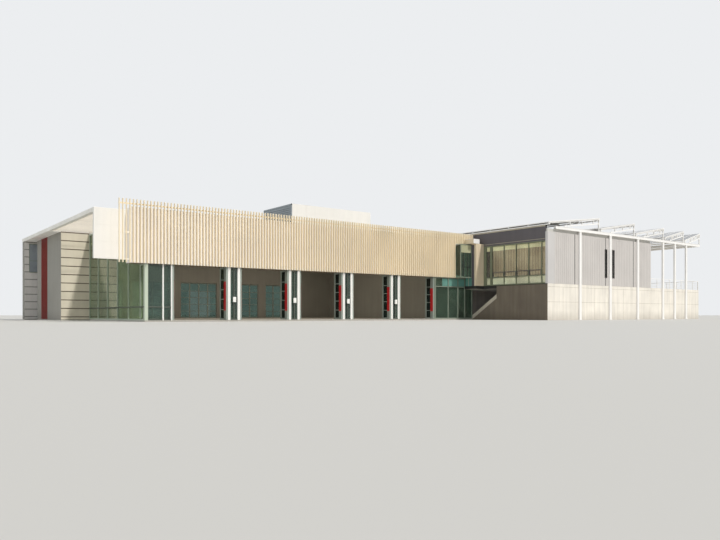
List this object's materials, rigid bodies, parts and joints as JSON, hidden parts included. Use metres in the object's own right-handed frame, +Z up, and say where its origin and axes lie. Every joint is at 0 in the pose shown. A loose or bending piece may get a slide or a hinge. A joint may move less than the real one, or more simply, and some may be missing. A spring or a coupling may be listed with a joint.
{
  "type": "fire station building, scale model at 1:2",
  "caption": "Low flat-roofed fire station with a finned screen over open vehicle bays, and a raised wing with a stepped roof canopy and an open terrace",
  "frame": {"origin": "centre of the building's plan, at ground level", "axes": "+X along the front to the right, +Y to the back, +Z up"},
  "size_m": [32.85, 17.85, 5.3],
  "materials": {
    "concrete_floor": "smooth cast concrete",
    "cast_concrete": "board-marked cast concrete",
    "screen_backing": "matt beige panel",
    "screen_fins": "satin beige metal",
    "white_panel": "matt white panel",
    "light_boards": "matt light boards",
    "lapped_boards": "matt lapped boards",
    "grey_boards": "matt grey boards",
    "red_panel": "satin dark red panel",
    "roof_sheet": "pale roof membrane",
    "window_frames": "satin anodised",
    "white_frames": "satin white",
    "door_frames": "satin red",
    "clear_glass": "clear, slightly green",
    "beige_panel": "matt beige panel",
    "dark_fascia": "satin dark grey",
    "ribbed_panel": "matt light grey ribs",
    "white_steel": "satin white",
    "canopy_panel": "dark cells in pale frames"
  },
  "bodies": {
    "root": {"main_floor": "concrete_floor", "front_header": "screen_backing", "fin_screen": "screen_fins", "corner_panel": "white_panel", "left_roof_band": "light_boards", "left_soffit": "light_boards", "lobby_head_beam": "light_boards", "lapped_wall": "lapped_boards", "left_wall": "grey_boards", "red_strip": "red_panel", "main_roof": "roof_sheet", "roof_box": "white_panel", "rear_wall": "grey_boards", "rear_doors": "door_frames", "right_wall": "grey_boards", "lobby_front_frame": "window_frames", "lobby_side_frame": "window_frames", "upper_window_frame": "window_frames", "bay_piers": "white_frames", "pier_boxes": "white_frames", "entry_frame": "window_frames", "front_glass": "clear_glass", "bay_1_doors": "door_frames", "bay_2_doors": "door_frames", "bay_3_doors": "door_frames", "bay_4_doors": "door_frames", "bay_5_doors": "door_frames", "door_glass": "clear_glass", "wing_base": "cast_concrete", "wing_floor": "cast_concrete", "link_wall": "beige_panel", "link_beam": "white_steel", "wing_side_frame": "window_frames", "wing_side_glass": "clear_glass", "wing_fascia": "dark_fascia", "wing_corner_panel": "white_panel", "wing_front_wall": "ribbed_panel", "wing_right_wall": "ribbed_panel", "wing_back_wall": "ribbed_panel", "wing_window_glass": "clear_glass", "wing_roof": "roof_sheet", "wing_columns": "white_steel", "front_beam": "white_steel", "back_beam": "white_steel", "cross_beams": "white_steel", "terrace_rail": "white_steel", "canopy_panels": "canopy_panel", "canopy_rafters": "white_steel", "canopy_posts": "white_steel"}
  },
  "joints": []
}
